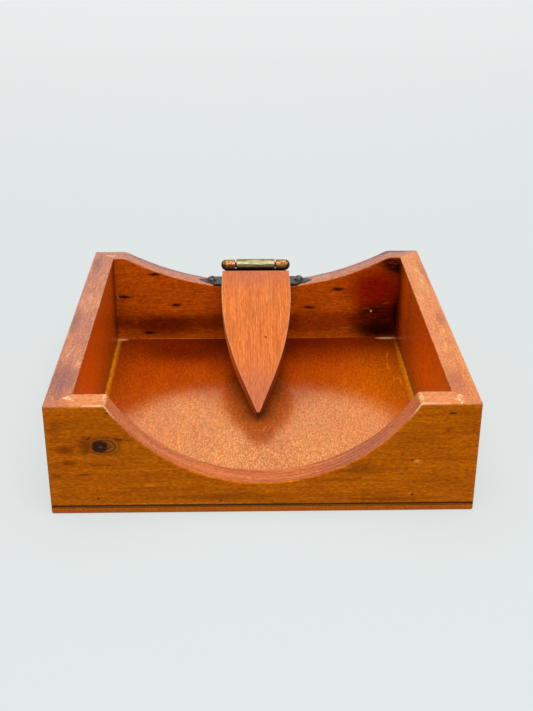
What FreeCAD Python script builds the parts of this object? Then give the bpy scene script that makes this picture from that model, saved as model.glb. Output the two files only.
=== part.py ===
"""Flat napkin holder in pine, with a hinged press arm.

Four mitred boards stand on a thin bottom panel.  The front board has a deep round scoop, and the back
board a shallow one that carries an offset cabinet hinge.  A pointed arm hangs on the hinge, and its tip
rests on the tray's floor, or on the napkins in it.

Millimetres.  +Z is up, +X is right and +Y points to the back.  The origin is the centre of the underside.
"""
import FreeCAD, Part
import math
import os

from FreeCAD import Vector

# ---- tray ------------------------------------------------------------------------------------------
TRAY_WIDTH = 203.2
TRAY_DEPTH = 206.5
BOARD_HEIGHT = 54.7
BOARD_THICKNESS = 12.5
PANEL_THICKNESS = 4.0
EDGE_EASE = 0.9            # rounding of the boards' outer and scoop edges
JOINT_EASE = 0.6           # rounding where frame and panel meet, which leaves a fine groove
PANEL_ROUND = 1.1          # rounding of the panel's lower edges

FRONT_SCOOP_RADIUS = 84.3
FRONT_SCOOP_LOW = 16.4     # lowest point of the scoop above the underside
FRONT_HORN_ROUND = 2.0     # rounding where the scoop runs out at the top
BACK_SCOOP_RADIUS = 175.0
BACK_SCOOP_LOW = 38.3
BACK_HORN_ROUND = 9.0

# ---- press arm -------------------------------------------------------------------------------------
ARM_LENGTH = 114.2
ARM_WIDTH = 42.2
ARM_WIDEST_FROM_END = 15.0
ARM_THICKNESS = 9.5
ARM_TIP_WIDTH = 1.3
ARM_TIP_ANGLE = 36.6       # between the two straight runs that meet at the tip, in degrees
ARM_TIP_DEPTH = 5.1        # what the flat under the tip leaves of the thickness
ARM_EDGE_EASE = 0.55
EASE_SHARE = 0.45          # most of the tip's width that the easing may take on one side
ARM_REST_GAP = 0.2         # the flat under the tip to the floor

# ---- hinge -----------------------------------------------------------------------------------------
HINGE_SHIFT = -1.0         # hinge and arm sit a little left of the middle
AXIS_BEHIND_INNER_FACE = 4.2
AXIS_ABOVE_SCOOP = 14.2
AXIS_BEHIND_ARM = 7.1
AXIS_BELOW_ARM_TOP = 1.8
LEAF_THICKNESS = 1.4
PIN_RADIUS = 1.6
PIN_HEAD_RADIUS = 2.8
PIN_HEAD_HEIGHT = 2.3
PIN_HEAD_RIM = 0.9
PIN_COLLAR_RADIUS = 3.15
PIN_COLLAR_HEIGHT = 0.6
BASE_KNUCKLE_RADIUS = 3.3
BASE_KNUCKLE_LENGTH = 6.5
ARM_KNUCKLE_RADIUS = 3.65
ARM_KNUCKLE_LENGTH = 23.9
KNUCKLE_GAP = 0.8          # along the pin, between arm knuckle and base knuckles
KNUCKLE_EASE = 0.25        # chamfer round a knuckle's ends
CURL_GAP = 0.3             # slit where a rolled knuckle meets its leaf
NOTCH_CLEARANCE = 0.2      # arm knuckle over the base leaf's wall
RUNNING_CLEARANCE = 0.05   # arm knuckle on the pin
HELD_CLEARANCE = 0.02      # base knuckles on the pin

BASE_LEAF_HALF_LENGTH = 28.8   # without the pointed ends
BASE_LEAF_WIDTH = 12.8
BASE_LEAF_OVERHANG = 0.4   # in front of the back board
BASE_LEAF_LIFT = 2.0       # its underside above the scoop's lowest point; the ends are let into the wood
BASE_LEAF_EASE = 0.3       # rounding of its upper edges
BEND_RELIEF = 1.0          # slit beside the wall that carries the knuckles
SPEAR_LENGTH = 6.1
SPEAR_HALF_WIDTH = 3.3
SPEAR_ROOT = 1.0           # how far the spear's widest place lies outside the leaf's end
SCALLOP_RADIUS = 2.6       # bite out of each corner beside the spear
SCALLOP_OUTSIDE = 0.3      # how far its centre lies outside the leaf's end
ARM_LEAF_REACH = 21.0      # under the arm, from the arm's end
ARM_LEAF_CORNER = 5.0
BEND_RADIUS = 1.9

# ---- screws and brads ------------------------------------------------------------------------------
BASE_SCREW_FROM_END = 1.35 # inward from the base leaf's end, without its point
BASE_SCREW_BEHIND_MIDDLE = 1.2
BASE_SCREW_HEAD_RADIUS = 3.0
BASE_SCREW_HEAD_HEIGHT = 2.2
BASE_SCREW_HEAD_RIM = 0.4
BASE_SCREW_RADIUS = 1.4
BASE_SCREW_LENGTH = 16.0
BASE_SCREW_TURNS = (-62.0, 24.0)   # where each slot came to rest, in degrees
ARM_SCREW_SPACING = 13.0
ARM_SCREW_FROM_END = 12.5
ARM_SCREW_HEAD_RADIUS = 2.7
ARM_SCREW_RADIUS = 1.3
ARM_SCREW_LENGTH = 8.2
ARM_SCREW_TURNS = (15.0, -40.0)
SLOT_WIDTH = 0.8
SLOT_DEPTH = 0.8
SCREW_POINT = 3.0
SHANK_CLEARANCE = 0.2      # screw in its leaf hole
PILOT_CLEARANCE = 0.03     # screw or brad in its wood hole

BRAD_RADIUS = 0.6
BRAD_HEAD_RADIUS = 1.0
BRAD_HEAD_HEIGHT = 0.6
BRAD_POINT = 1.8
BRAD_SET = 0.2             # how deep the heads are punched in
CORNER_BRAD_LENGTH = 25.0
CORNER_BRAD_HEIGHTS = (18.0, 44.0)
BOTTOM_BRAD_LENGTH = 14.0
FRONT_BRAD_PLACES = (-70.0, -24.0, 24.0, 70.0)
SIDE_BRAD_PLACES = (-60.0, 0.0, 60.0)

# ---- worked out ------------------------------------------------------------------------------------
HALF_WIDTH = TRAY_WIDTH / 2
HALF_DEPTH = TRAY_DEPTH / 2
TRAY_HEIGHT = PANEL_THICKNESS + BOARD_HEIGHT
BOARD_MIDDLE = BOARD_THICKNESS / 2
BASE_LEAF_LOW = BACK_SCOOP_LOW + BASE_LEAF_LIFT
BASE_LEAF_FRONT = HALF_DEPTH - BOARD_THICKNESS - BASE_LEAF_OVERHANG
BASE_LEAF_MIDDLE = BASE_LEAF_FRONT + BASE_LEAF_WIDTH / 2
PIN_Y = HALF_DEPTH - BOARD_THICKNESS + AXIS_BEHIND_INNER_FACE
PIN_Z = BACK_SCOOP_LOW + AXIS_ABOVE_SCOOP
PIN_PLACE = Vector(HINGE_SHIFT, PIN_Y, PIN_Z)
NOTCH_HALF_LENGTH = ARM_KNUCKLE_LENGTH / 2 + KNUCKLE_GAP
PIN_HALF_LENGTH = NOTCH_HALF_LENGTH + BASE_KNUCKLE_LENGTH
ARM_UNDERSIDE = AXIS_BELOW_ARM_TOP - ARM_THICKNESS     # measured from the axis
ARM_TIP_REACH = AXIS_BEHIND_ARM + ARM_LENGTH
ARM_TIP_DROP = ARM_TIP_DEPTH - AXIS_BELOW_ARM_TOP
ARM_SLOPE = math.degrees(
    math.asin((PIN_Z - PANEL_THICKNESS - ARM_REST_GAP) / math.hypot(ARM_TIP_REACH, ARM_TIP_DROP))
    - math.atan2(ARM_TIP_DROP, ARM_TIP_REACH)
)
SPARE = 5.0                # how far cutters run past what they cut

X = Vector(1, 0, 0)
Y = Vector(0, 1, 0)
Z = Vector(0, 0, 1)


# ---- small helpers ---------------------------------------------------------------------------------
def block(x, y, z):
    """A box from its (low, high) pairs."""
    size = [high - low for low, high in (x, y, z)]
    return Part.makeBox(*size, Vector(x[0], y[0], z[0]))


def rod(radius, start, direction, length):
    return Part.makeCylinder(radius, length, start, direction)


def line(a, b):
    return Part.LineSegment(a, b).toShape()


def arc(a, middle, b):
    return Part.Arc(a, middle, b).toShape()


def prism(edges, depth):
    """The solid that a closed outline sweeps along a vector."""
    return Part.Face(Part.Wire(edges)).extrude(depth)


def polygon_prism(points, depth):
    return Part.Face(Part.makePolygon(points + points[:1])).extrude(depth)


def turned(profile):
    """A round solid from (radius, height) points that start and end on its axis, which is Z."""
    points = [Vector(radius, 0, height) for radius, height in profile]
    return Part.Face(Part.makePolygon(points + points[:1])).revolve(Vector(), Z, 360)


def dome(radius, rim, height):
    """A button on Z = 0: an upright rim, and above it a cap of a ball."""
    rise = height - rim
    ball_radius = (radius ** 2 + rise ** 2) / (2 * rise)
    ball = Part.makeSphere(ball_radius, Z * (height - ball_radius))
    return ball.common(rod(radius, Vector(), Z, height))


def joined(shapes):
    return shapes[0].multiFuse(shapes[1:]).removeSplitter()


def edges_where(shape, test):
    return [edge for edge in shape.Edges if test(edge)]


def middle_of(edge):
    return edge.valueAt((edge.FirstParameter + edge.LastParameter) / 2)


def near(a, b):
    return abs(a - b) < 1e-4


def save(name, shape):
    solids = shape.Solids
    if not solids or not all(solid.isValid() for solid in solids):
        raise ValueError(name + " has no valid solid")
    result = solids[0] if len(solids) == 1 else Part.Compound(solids)
    result.exportStep(os.path.join("parts", name + ".step"))


# ---- tray boards -----------------------------------------------------------------------------------
def scoop_cutter(radius, low, horn_round, y):
    """A round scoop out of a board's top, whose two upper corners are rounded off."""
    centre = Vector(0, y[0], low + radius)
    horn_x = math.sqrt((radius + horn_round) ** 2 - (centre.z - TRAY_HEIGHT + horn_round) ** 2)
    horn = Vector(horn_x, y[0], TRAY_HEIGHT - horn_round)
    to_scoop = (centre - horn).normalize()
    top = Vector(horn_x, y[0], TRAY_HEIGHT)
    touch = horn + to_scoop * horn_round
    halfway = horn + (to_scoop + Z).normalize() * horn_round

    def mirrored(point):
        return Vector(-point.x, point.y, point.z)

    above = Vector(horn_x, y[0], TRAY_HEIGHT + SPARE)
    edges = [
        line(above, top),
        arc(top, halfway, touch),
        arc(touch, Vector(0, y[0], low), mirrored(touch)),
        arc(mirrored(touch), mirrored(halfway), mirrored(top)),
        line(mirrored(top), mirrored(above)),
        line(mirrored(above), above),
    ]
    return prism(edges, Vector(0, y[1] - y[0], 0))


def frame_ring():
    """All four boards as one ring, with the scoops and the eased edges that run round the corners."""
    height = (PANEL_THICKNESS, TRAY_HEIGHT)
    ring = block((-HALF_WIDTH, HALF_WIDTH), (-HALF_DEPTH, HALF_DEPTH), height)
    inside_x = HALF_WIDTH - BOARD_THICKNESS
    inside_y = HALF_DEPTH - BOARD_THICKNESS
    ring = ring.cut(block((-inside_x, inside_x), (-inside_y, inside_y), (0, TRAY_HEIGHT + SPARE)))
    front = (-HALF_DEPTH - SPARE, -inside_y + SPARE)
    back = (inside_y - SPARE, HALF_DEPTH + SPARE)
    ring = ring.cut(scoop_cutter(FRONT_SCOOP_RADIUS, FRONT_SCOOP_LOW, FRONT_HORN_ROUND, front))
    ring = ring.cut(scoop_cutter(BACK_SCOOP_RADIUS, BACK_SCOOP_LOW, BACK_HORN_ROUND, back))

    def outside(edge):
        point = middle_of(edge)
        return near(abs(point.x), HALF_WIDTH) or near(abs(point.y), HALF_DEPTH)

    def at_panel(edge):
        return near(edge.BoundBox.ZMax, PANEL_THICKNESS)

    def at_scoop_inside(edge):
        point = middle_of(edge)
        return near(abs(point.y), inside_y) and abs(point.x) < inside_x - 1 and not at_panel(edge)

    eased = edges_where(ring, lambda e: (outside(e) and not at_panel(e)) or at_scoop_inside(e))
    ring = ring.makeFillet(EDGE_EASE, eased)
    return ring.makeFillet(JOINT_EASE, edges_where(ring, lambda e: outside(e) and at_panel(e)))


def mitre_wedge(across, along):
    """The plan sector, between two 45 degree mitres, that one board has of the frame.

    across is the half length of the board, and along the distance of its outer face from the middle.
    It lies at the front and is turned to the side it is for.
    """
    reach = 2 * BOARD_THICKNESS
    points = [
        Vector(-across - SPARE, -along - SPARE, 0),
        Vector(across + SPARE, -along - SPARE, 0),
        Vector(across - reach, -along + reach, 0),
        Vector(-across + reach, -along + reach, 0),
    ]
    return polygon_prism(points, Vector(0, 0, TRAY_HEIGHT + SPARE))


def board(ring, turn, across, along):
    wedge = mitre_wedge(across, along)
    wedge.rotate(Vector(), Z, turn)
    return ring.common(wedge)


def bottom_panel():
    panel = block((-HALF_WIDTH, HALF_WIDTH), (-HALF_DEPTH, HALF_DEPTH), (0, PANEL_THICKNESS))
    upright = edges_where(panel, lambda e: e.BoundBox.ZLength > PANEL_THICKNESS / 2)
    panel = panel.makeFillet(EDGE_EASE, upright)
    panel = panel.makeFillet(PANEL_ROUND, edges_where(panel, lambda e: near(e.BoundBox.ZMax, 0)))
    return panel.makeFillet(JOINT_EASE, edges_where(panel, lambda e: near(e.BoundBox.ZMin, PANEL_THICKNESS)))


# ---- brads -----------------------------------------------------------------------------------------
def brad(head, direction, length, spare=0.0):
    """A brad whose head's top is at head; spare widens it into the cutter for its hole."""
    radius = BRAD_RADIUS + spare
    head_radius = BRAD_HEAD_RADIUS + spare
    top = BRAD_SET if spare else 0.0
    body = turned([
        (0, top), (head_radius, top), (head_radius, -BRAD_HEAD_HEIGHT),
        (radius, -BRAD_HEAD_HEIGHT), (radius, BRAD_POINT - length), (0, -length - spare),
    ])
    body.Placement = FreeCAD.Placement(head, FreeCAD.Rotation(Z, direction * -1))
    return body


def corner_brads(side, end, spare=0.0):
    """Two brads through a side board's mitre; side is -1 or 1 in X, end is -1 or 1 in Y."""
    x = side * (HALF_WIDTH - BRAD_SET)
    y = end * (HALF_DEPTH - BOARD_MIDDLE)
    return [
        brad(Vector(x, y, height), X * -side, CORNER_BRAD_LENGTH, spare)
        for height in CORNER_BRAD_HEIGHTS
    ]


def bottom_brads_across(end, spare=0.0):
    y = end * (HALF_DEPTH - BOARD_MIDDLE)
    return [brad(Vector(x, y, BRAD_SET), Z, BOTTOM_BRAD_LENGTH, spare) for x in FRONT_BRAD_PLACES]


def bottom_brads_along(side, spare=0.0):
    x = side * (HALF_WIDTH - BOARD_MIDDLE)
    return [brad(Vector(x, y, BRAD_SET), Z, BOTTOM_BRAD_LENGTH, spare) for y in SIDE_BRAD_PLACES]


# ---- screws ----------------------------------------------------------------------------------------
def slot(top, turn):
    """The driver slot across a head whose top is at height top."""
    width = BASE_SCREW_HEAD_RADIUS + SPARE
    cutter = block((-width, width), (-SLOT_WIDTH / 2, SLOT_WIDTH / 2), (top - SLOT_DEPTH, top + SPARE))
    cutter.rotate(Vector(), Z, turn)
    return cutter


def shank_profile(radius, length):
    return [(radius, SCREW_POINT - length), (0, -length)]


def round_head_screw(turn):
    """A slotted round-head screw, seat of the head at Z = 0."""
    height = BASE_SCREW_HEAD_HEIGHT
    top = [(0, 0), (BASE_SCREW_RADIUS, 0)]
    shank = turned(top + shank_profile(BASE_SCREW_RADIUS, BASE_SCREW_LENGTH))
    head = dome(BASE_SCREW_HEAD_RADIUS, BASE_SCREW_HEAD_RIM, height)
    return joined([head, shank]).cut(slot(height, turn))


def flat_head_screw(turn):
    """A slotted countersunk screw, top of the head at Z = 0."""
    cone = ARM_SCREW_HEAD_RADIUS - ARM_SCREW_RADIUS
    top = [(0, 0), (ARM_SCREW_HEAD_RADIUS, 0), (ARM_SCREW_RADIUS, -cone)]
    return turned(top + shank_profile(ARM_SCREW_RADIUS, ARM_SCREW_LENGTH)).cut(slot(0, turn))


def base_screw_placement(side):
    """Upright, with the head's seat on the base leaf."""
    offset = side * (BASE_LEAF_HALF_LENGTH - BASE_SCREW_FROM_END)
    place = Vector(
        HINGE_SHIFT + offset,
        BASE_LEAF_MIDDLE + BASE_SCREW_BEHIND_MIDDLE,
        BASE_LEAF_LOW + LEAF_THICKNESS,
    )
    return FreeCAD.Placement(place, FreeCAD.Rotation())


def arm_screw_placement(side):
    """Head down in the arm leaf, in the arm's own frame."""
    place = Vector(
        side * ARM_SCREW_SPACING / 2,
        -AXIS_BEHIND_ARM - ARM_SCREW_FROM_END,
        ARM_UNDERSIDE,
    )
    return FreeCAD.Placement(place, FreeCAD.Rotation(X, 180))


def placed(shape, placement):
    copy = shape.copy()
    copy.Placement = placement.multiply(copy.Placement)
    return copy


# ---- hinge -----------------------------------------------------------------------------------------
def knuckle(radius, length, bore, start_x):
    """A knuckle rolled round the X axis; its leaf leaves it at the front and runs down.

    A slit stays open where the roll's end comes back to the leaf.
    """
    ring = rod(radius, Vector(start_x, 0, 0), X, length)
    ring = ring.makeChamfer(KNUCKLE_EASE, edges_where(ring, lambda e: e.isClosed()))
    ring = ring.cut(rod(bore, Vector(start_x - SPARE, 0, 0), X, length + 2 * SPARE))
    inner = -radius + LEAF_THICKNESS
    along = (start_x - SPARE, start_x + length + SPARE)
    slit = block(along, (inner, inner + CURL_GAP), (-radius - SPARE, -bore))
    return ring.cut(slit)


def bent_leaf(length, back, low, end):
    """Sheet bent to an L along X: a wall that hangs from the pin's height, and a foot to the front."""
    front = back - LEAF_THICKNESS
    top = low + LEAF_THICKNESS
    outline = [(back, 0), (back, low), (end, low), (end, top), (front, top), (front, 0)]
    sheet = polygon_prism([Vector(-length / 2, y, z) for y, z in outline], X * length)

    def bend(y, z):
        return edges_where(sheet, lambda e: near(middle_of(e).y, y) and near(middle_of(e).z, z))

    sheet = sheet.makeFillet(BEND_RADIUS, bend(back, low))
    return sheet.makeFillet(BEND_RADIUS - LEAF_THICKNESS, bend(front, top))


def spear(root, side, height):
    """The leaf's pointed end: two arcs that meet at a tip, mirrored for the other end."""
    tip = root + X * side * SPEAR_LENGTH
    back = root - X * side * SPEAR_LENGTH
    wide = [root + Y * SPEAR_HALF_WIDTH, root - Y * SPEAR_HALF_WIDTH]
    return prism([arc(back, wide[0], tip), arc(tip, wide[1], back)], Vector(0, 0, height))


def base_leaf_outline(height):
    """The base leaf's plan with its pointed ends and scalloped corners, raised from its underside."""
    middle = Vector(HINGE_SHIFT, BASE_LEAF_MIDDLE, BASE_LEAF_LOW)
    half_width = BASE_LEAF_WIDTH / 2
    low = middle - X * BASE_LEAF_HALF_LENGTH - Y * half_width
    plan = [Part.makeBox(2 * BASE_LEAF_HALF_LENGTH, BASE_LEAF_WIDTH, height, low)]
    for side in (-1, 1):
        plan.append(spear(middle + X * side * (BASE_LEAF_HALF_LENGTH + SPEAR_ROOT), side, height))
    plate = joined(plan)
    for side in (-1, 1):
        for edge in (-1, 1):
            corner = middle + X * side * (BASE_LEAF_HALF_LENGTH + SCALLOP_OUTSIDE) + Y * edge * half_width
            plate = plate.cut(rod(SCALLOP_RADIUS, corner, Z, height))
    return plate


def hinge_base_leaf():
    """The leaf on the back board, whose rear edge is bent up to a wall that carries the outer knuckles."""
    top = BASE_LEAF_LOW + LEAF_THICKNESS
    plate = base_leaf_outline(LEAF_THICKNESS)
    plate = plate.makeFillet(BASE_LEAF_EASE, edges_where(plate, lambda e: near(e.BoundBox.ZMin, top)))
    reach = PIN_HALF_LENGTH + BEND_RELIEF
    bend = PIN_Y + BASE_KNUCKLE_RADIUS - BEND_RADIUS
    plate = plate.cut(block(
        (HINGE_SHIFT - reach, HINGE_SHIFT + reach), (bend, bend + BASE_LEAF_WIDTH), (0, TRAY_HEIGHT)
    ))

    wall_back = BASE_KNUCKLE_RADIUS
    wall_front = wall_back - LEAF_THICKNESS
    wall = bent_leaf(2 * PIN_HALF_LENGTH, wall_back, BASE_LEAF_LOW - PIN_Z, wall_back - 2 * BEND_RADIUS)
    notch_floor = -math.sqrt((ARM_KNUCKLE_RADIUS + NOTCH_CLEARANCE) ** 2 - wall_front ** 2)
    wall = wall.cut(block(
        (-NOTCH_HALF_LENGTH, NOTCH_HALF_LENGTH), (0, SPARE), (notch_floor, SPARE)
    ))
    pieces = [wall]
    for low in (-PIN_HALF_LENGTH, NOTCH_HALF_LENGTH):
        roll = knuckle(BASE_KNUCKLE_RADIUS, BASE_KNUCKLE_LENGTH, PIN_RADIUS + HELD_CLEARANCE, low)
        roll.rotate(Vector(), Z, 180)
        pieces.append(roll)
    for piece in pieces:
        piece.translate(PIN_PLACE)
    leaf = joined([plate] + pieces)
    for side in (-1, 1):
        hole = rod(BASE_SCREW_RADIUS + SHANK_CLEARANCE, Z * -SPARE, Z, 2 * SPARE)
        leaf = leaf.cut(placed(hole, base_screw_placement(side)))
    return leaf


def arm_leaf_plate():
    """The arm leaf's wall and foot, in the arm's frame; the foot lies flush in the arm's underside."""
    end = -AXIS_BEHIND_ARM - ARM_LEAF_REACH
    plate = bent_leaf(ARM_KNUCKLE_LENGTH, LEAF_THICKNESS - ARM_KNUCKLE_RADIUS, ARM_UNDERSIDE, end)
    upright = LEAF_THICKNESS / 2
    corners = edges_where(plate, lambda e: near(middle_of(e).y, end) and e.BoundBox.ZLength > upright)
    return plate.makeFillet(ARM_LEAF_CORNER, corners)


def hinge_arm_leaf():
    """The arm's leaf, in the arm's frame: long knuckle, wall behind the arm's end, foot under the arm."""
    bore = PIN_RADIUS + RUNNING_CLEARANCE
    roll = knuckle(ARM_KNUCKLE_RADIUS, ARM_KNUCKLE_LENGTH, bore, -ARM_KNUCKLE_LENGTH / 2)
    leaf = joined([arm_leaf_plate(), roll])
    for side in (-1, 1):
        head = ARM_SCREW_HEAD_RADIUS
        reach = ARM_SCREW_RADIUS + SHANK_CLEARANCE
        hole = turned([(0, 0), (head, 0), (reach, reach - head), (reach, -SPARE), (0, -SPARE)])
        leaf = leaf.cut(placed(hole, arm_screw_placement(side)))
    return leaf


def hinge_pin():
    """The pin; at each end a collar and a dome close the barrel."""
    collar = rod(PIN_COLLAR_RADIUS, Vector(), Z, PIN_COLLAR_HEIGHT)
    head = collar.fuse(dome(PIN_HEAD_RADIUS, PIN_HEAD_RIM, PIN_HEAD_HEIGHT))
    head.translate(Z * PIN_HALF_LENGTH)
    other = head.copy()
    other.rotate(Vector(), X, 180)
    shaft = rod(PIN_RADIUS, Z * -PIN_HALF_LENGTH, Z, 2 * PIN_HALF_LENGTH)
    pin = joined([shaft, head, other])
    pin.Placement = FreeCAD.Placement(PIN_PLACE, FreeCAD.Rotation(Z, X))
    return pin


# ---- press arm -------------------------------------------------------------------------------------
def arm_outline(height):
    """Plan of the arm at a height: a square end, a long arc on each side, straight runs to a blunt tip.

    The arc's radius follows from the width, the way to the tip and the angle of the straight run there.
    """
    half_width = ARM_WIDTH / 2
    half_tip = ARM_TIP_WIDTH / 2
    to_tip = ARM_LENGTH - ARM_WIDEST_FROM_END
    turn = math.radians(ARM_TIP_ANGLE / 2)
    radius = (to_tip * math.tan(turn) - half_width + half_tip) / (1 / math.cos(turn) - 1)
    centre = Vector(half_width - radius, -AXIS_BEHIND_ARM - ARM_WIDEST_FROM_END, height)

    def on_arc(angle):
        return centre + Vector(math.cos(angle), math.sin(angle), 0) * radius

    def mirrored(point):
        return Vector(-point.x, point.y, point.z)

    tip = Vector(half_tip, -ARM_TIP_REACH, height)
    touch = on_arc(-turn)
    widest = on_arc(0)
    end = on_arc(math.asin(ARM_WIDEST_FROM_END / radius))
    return [
        line(mirrored(tip), tip),
        line(tip, touch),
        arc(touch, widest, end),
        line(end, mirrored(end)),
        arc(mirrored(end), mirrored(widest), mirrored(touch)),
        line(mirrored(touch), mirrored(tip)),
    ]


def press_arm():
    """The arm in its own frame, lying level, with the hinge axis as its origin."""
    arm = prism(arm_outline(ARM_UNDERSIDE), Vector(0, 0, ARM_THICKNESS))
    level = edges_where(arm, lambda e: e.BoundBox.ZLength < 1e-4 and e.Length > 2 * ARM_TIP_WIDTH)
    arm = arm.makeFillet(min(ARM_EDGE_EASE, EASE_SHARE * ARM_TIP_WIDTH), level)
    arm = arm.cut(arm_leaf_plate())
    for side in (-1, 1):
        pilot = rod(ARM_SCREW_RADIUS + PILOT_CLEARANCE, Vector(), Z * -1, ARM_SCREW_LENGTH)
        arm = arm.cut(placed(pilot, arm_screw_placement(side)))
    return arm


def at_rest(shape):
    """Turns what belongs to the arm down to its rest and moves it to the hinge."""
    copy = shape.copy()
    copy.rotate(Vector(), X, ARM_SLOPE)
    copy.translate(PIN_PLACE)
    return copy


def tip_flat():
    """What the flat under the tip takes away; it lies level on the floor when the arm is at rest."""
    y = PIN_Y - ARM_TIP_REACH
    top = PANEL_THICKNESS + ARM_REST_GAP
    return block((-ARM_WIDTH, ARM_WIDTH), (y - SPARE, y + ARM_LENGTH / 2), (top - 2 * ARM_THICKNESS, top))


# ---- assembly --------------------------------------------------------------------------------------
def cut_all(shape, cutters):
    for cutter in cutters:
        shape = shape.cut(cutter)
    return shape


def main():
    os.makedirs("parts", exist_ok=True)
    ring = frame_ring()
    wide = (HALF_WIDTH, HALF_DEPTH)
    deep = (HALF_DEPTH, HALF_WIDTH)
    boards = {
        "front_board": board(ring, 0, *wide),
        "right_side_board": board(ring, 90, *deep),
        "back_board": board(ring, 180, *wide),
        "left_side_board": board(ring, -90, *deep),
    }
    panel = bottom_panel()

    base_screws = {
        "left": placed(round_head_screw(BASE_SCREW_TURNS[0]), base_screw_placement(-1)),
        "right": placed(round_head_screw(BASE_SCREW_TURNS[1]), base_screw_placement(1)),
    }
    pilot = rod(BASE_SCREW_RADIUS + PILOT_CLEARANCE, Vector(), Z * -1, BASE_SCREW_LENGTH)
    let_in = [placed(pilot, base_screw_placement(side)) for side in (-1, 1)]
    let_in.append(base_leaf_outline(TRAY_HEIGHT))
    boards["back_board"] = cut_all(boards["back_board"], let_in)

    ends = {"front": -1, "back": 1}
    sides = {"left": -1, "right": 1}
    for end_name, end in ends.items():
        cutters = bottom_brads_across(end, PILOT_CLEARANCE)
        panel = cut_all(panel, cutters)
        boards[end_name + "_board"] = cut_all(boards[end_name + "_board"], cutters)
        save("bottom_brads_" + end_name, Part.Compound(bottom_brads_across(end)))
        for side_name, side in sides.items():
            cutters = corner_brads(side, end, PILOT_CLEARANCE)
            for name in (end_name + "_board", side_name + "_side_board"):
                boards[name] = cut_all(boards[name], cutters)
            save(end_name + "_" + side_name + "_corner_brads", Part.Compound(corner_brads(side, end)))
    for side_name, side in sides.items():
        cutters = bottom_brads_along(side, PILOT_CLEARANCE)
        panel = cut_all(panel, cutters)
        name = side_name + "_side_board"
        boards[name] = cut_all(boards[name], cutters)
        save("bottom_brads_" + side_name, Part.Compound(bottom_brads_along(side)))

    for name, shape in boards.items():
        save(name, shape)
    save("bottom_panel", panel)
    save("hinge_base_leaf", hinge_base_leaf())
    save("hinge_pin", hinge_pin())
    for name, screw in base_screws.items():
        save("base_leaf_screw_" + name, screw)

    save("press_arm", at_rest(press_arm()).cut(tip_flat()))
    save("hinge_arm_leaf", at_rest(hinge_arm_leaf()))
    for name, side, turn in (("left", -1, ARM_SCREW_TURNS[0]), ("right", 1, ARM_SCREW_TURNS[1])):
        save("arm_leaf_screw_" + name, at_rest(placed(flat_head_screw(turn), arm_screw_placement(side))))


main()
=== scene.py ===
"""A flat napkin holder in stained pine: a tray with scooped ends and a pointed press arm on a cabinet hinge.

The solids come from the frame, in metres, +Z up and +Y to the back.  Each section below takes one piece in
the order in which the holder is put together, and gives it its finish.
"""
import math

import bpy
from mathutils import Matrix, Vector


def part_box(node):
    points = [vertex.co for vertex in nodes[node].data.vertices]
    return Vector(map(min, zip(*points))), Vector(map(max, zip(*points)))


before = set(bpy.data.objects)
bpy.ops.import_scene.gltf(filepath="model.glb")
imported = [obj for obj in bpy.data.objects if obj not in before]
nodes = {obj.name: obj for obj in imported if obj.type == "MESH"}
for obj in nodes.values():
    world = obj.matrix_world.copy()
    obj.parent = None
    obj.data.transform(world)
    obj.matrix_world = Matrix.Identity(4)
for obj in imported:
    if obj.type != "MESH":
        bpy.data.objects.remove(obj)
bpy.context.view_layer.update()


# ---- camera ----------------------------------------------------------------------------------------
# The view is from a little above the tray's front, a touch to its left.
CAMERA_PLACE = (-0.00916, -0.54131, 0.29240)
CAMERA_TURN = (64.539, -0.181, -1.288)      # degrees about X, Y and Z
CAMERA_LENS = 54.677                        # millimetres, on a 36 mm long side

bpy.ops.object.select_all(action="DESELECT")
bpy.ops.object.camera_add(location=CAMERA_PLACE, rotation=[math.radians(a) for a in CAMERA_TURN])
camera = bpy.context.object
camera.data.lens = CAMERA_LENS
bpy.context.scene.camera = camera


# ---- studio ----------------------------------------------------------------------------------------
# A sheet of matt white card that sweeps up behind the tray, in a white light tent.  One wide soft lamp
# hangs overhead and a second stands high in front.
MM = 0.001                     # in the frame's metres
CARD_HALF_WIDTH = 2.5
CARD_FRONT = -2.0
CARD_BACK = 1.6
CARD_HEIGHT = 2.6
CARD_BEND = 0.6
CARD_BEND_STEPS = 24
CARD_WHITENS_FROM = 0.2        # how far behind the tray's middle it starts to turn to its far white
CARD_WHITE = "#e0e6e5"         # as the camera and the varnish see it
CARD_FAR_WHITE = "#f4f8f8"     # and far behind the tray, where it sweeps up into the tent's own light
CARD_BOUNCE = "#8f8f8c"        # what it throws back on the boards: less than it shows, as if it lay lower
CARD_EVENNESS = 0.72           # share of its brightness that doesn't fall off with the lamps
TENT_WHITE = "#f2f5f6"
TENT_STRENGTH = 0.42
LAMPS = (
    ("top_lamp", (-0.1, 0.25, 1.9), 1.8, 16.0),       # name, place, side in metres, watts
    ("front_lamp", (0.15, -0.95, 1.45), 1.4, 17.0),
)


def colour(text):
    """A colour written as sRGB hex, as the linear RGBA that Blender's sockets take."""
    parts = [int(text[i:i + 2], 16) / 255 for i in (1, 3, 5)]
    return [c / 12.92 if c <= 0.04045 else ((c + 0.055) / 1.055) ** 2.4 for c in parts] + [1.0]


def add_node(tree, kind, inputs=None, output=0, **settings):
    """Adds a shader node, with its settings, and its inputs set or linked.  Gives the named output socket."""
    node = tree.nodes.new("ShaderNode" + kind)
    for name, value in settings.items():
        setattr(node, name, value)
    for name, value in (inputs or {}).items():
        if isinstance(value, bpy.types.NodeSocket):
            tree.links.new(value, node.inputs[name])
        else:
            node.inputs[name].default_value = value
    return node.outputs[output] if len(node.outputs) else None


def new_material(name):
    """An empty material, and the tree to build it in."""
    material = bpy.data.materials.new(name)
    material.use_nodes = True
    material.node_tree.nodes.clear()
    return material, material.node_tree


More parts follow.
